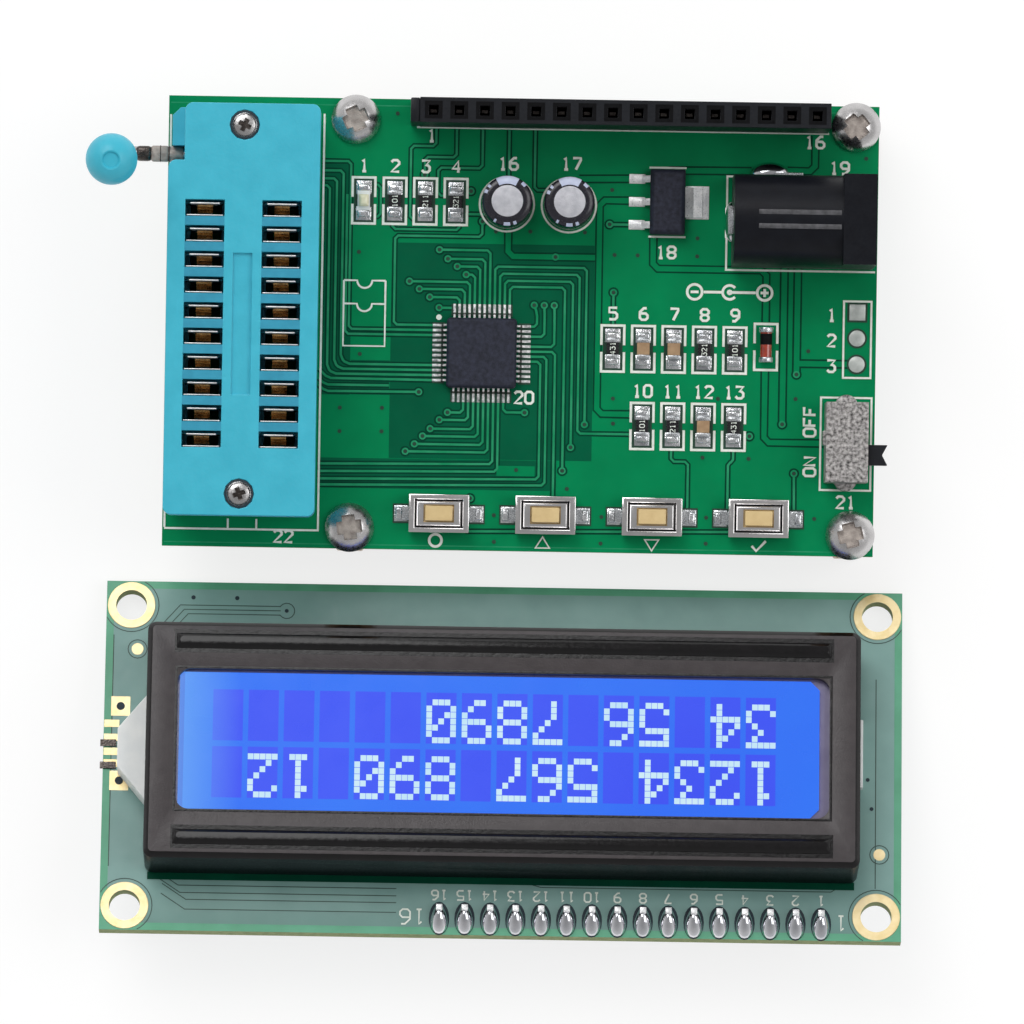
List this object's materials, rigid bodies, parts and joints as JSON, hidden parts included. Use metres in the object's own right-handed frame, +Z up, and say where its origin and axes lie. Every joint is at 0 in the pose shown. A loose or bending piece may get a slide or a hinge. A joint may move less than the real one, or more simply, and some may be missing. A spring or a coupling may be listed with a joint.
{
  "type": "component tester",
  "caption": "Bare-board chip tester with a lever socket, push buttons, slide switch and power jack, beside its unplugged character display module.",
  "frame": {"origin": "centre of the four feet, on the surface that they stand on", "axes": "+Z up, +Y from the push buttons towards the display header, +X from the lever socket towards the power jack"},
  "size_m": [0.082, 0.0842, 0.0312],
  "materials": {
    "green_board": "green solder mask over copper, with white marking",
    "display_board": "grey-green solder mask",
    "brass": "plain brass",
    "screw_steel": "bright nickel-plated steel",
    "switch_steel": "tin-plated sheet steel, speckled",
    "lever_steel": "dull plated steel",
    "tinned": "bright tinned metal",
    "aluminium": "plain aluminium",
    "teal_plastic": "moulded teal plastic, satin",
    "black_plastic": "moulded black plastic",
    "chip_resin": "moulded dark resin",
    "tan_plastic": "moulded tan plastic",
    "sleeve": "shrunk dark sleeve",
    "rubber": "black rubber",
    "resistor_ceramic": "dark glazed ceramic",
    "capacitor_ceramic": "tan ceramic",
    "white_plastic": "white moulded plastic",
    "indicator_clear": "clear resin",
    "red_glass": "red-tinted glass",
    "bezel_paint": "semi-gloss dark paint",
    "display_glass": "clear glass",
    "blue_film": "lit blue polarizing film"
  },
  "bodies": {
    "main_board": {"main_pcb": "green_board", "hex_pillars": "brass", "mounting_screws": "screw_steel", "socket_base": "teal_plastic", "socket_cover": "teal_plastic", "socket_cover_screws": "screw_steel", "socket_contacts": "brass", "display_header": "black_plastic", "header_contacts": "brass", "jack_housing": "black_plastic", "jack_pin": "tinned", "jack_terminals": "tinned", "switch_shell": "switch_steel", "switch_base": "black_plastic", "switch_terminals": "tinned", "button_frames": "switch_steel", "button_bases": "black_plastic", "button_domes": "tinned", "button_terminals": "tinned", "capacitor_sleeves": "sleeve", "capacitor_cans": "aluminium", "capacitor_bungs": "rubber", "capacitor_leads": "tinned", "microcontroller_body": "chip_resin", "microcontroller_leads": "tinned", "regulator_body": "chip_resin", "regulator_leads": "tinned", "chip_resistor_bodies": "resistor_ceramic", "chip_resistor_ends": "tinned", "chip_capacitor_bodies": "capacitor_ceramic", "chip_capacitor_ends": "tinned", "indicator_base": "white_plastic", "indicator_lens": "indicator_clear", "diode_glass": "red_glass", "diode_ends": "tinned"},
    "socket_lever": {"lever_rod": "lever_steel", "lever_knob": "teal_plastic"},
    "socket_slider": {"socket_slider": "teal_plastic"},
    "switch_knob": {"switch_knob": "black_plastic"},
    "button_1": {"button_plunger_1": "tan_plastic"},
    "button_2": {"button_plunger_2": "tan_plastic"},
    "button_3": {"button_plunger_3": "tan_plastic"},
    "button_4": {"button_plunger_4": "tan_plastic"},
    "display": {"display_pcb": "display_board", "display_bezel": "bezel_paint", "display_backlight": "white_plastic", "display_glass": "display_glass", "display_rubber_strips": "rubber", "display_polarizer": "blue_film", "backlight_straps": "tinned", "driver_chip_drops": "black_plastic", "display_pin_strip": "black_plastic", "display_pins": "brass", "display_solder_joints": "tinned"}
  },
  "joints": [
    {"name": "lever_turn", "type": "hinge", "parent": "main_board", "child": "socket_lever", "pos_m": [-0.0359, 0.0164, 0.0138], "axis": [-1, 0, 0], "range_deg": [0, 95.4]},
    {"name": "slider_shift", "type": "slide", "parent": "main_board", "child": "socket_slider", "axis": [0, 1, 0], "range_m": [0, 0.0007396]},
    {"name": "switch_shift", "type": "slide", "parent": "main_board", "child": "switch_knob", "axis": [0, 1, 0], "range_m": [0, 0.00244]},
    {"name": "button_1_press", "type": "slide", "parent": "main_board", "child": "button_1", "axis": [0, 0, -1], "range_m": [0, 0.00025], "stiffness_N_per_m": 300},
    {"name": "button_2_press", "type": "slide", "parent": "main_board", "child": "button_2", "axis": [0, 0, -1], "range_m": [0, 0.00025], "stiffness_N_per_m": 300},
    {"name": "button_3_press", "type": "slide", "parent": "main_board", "child": "button_3", "axis": [0, 0, -1], "range_m": [0, 0.00025], "stiffness_N_per_m": 300},
    {"name": "button_4_press", "type": "slide", "parent": "main_board", "child": "button_4", "axis": [0, 0, -1], "range_m": [0, 0.00025], "stiffness_N_per_m": 300},
    {"name": "display_lift", "type": "slide", "parent": "main_board", "child": "display", "axis": [0, 0, 1], "range_m": [0, 0.03]}
  ],
  "couplings": [
    {"joint": "lever_turn", "follows": "slider_shift", "rad_per_m": 2251.2}
  ]
}
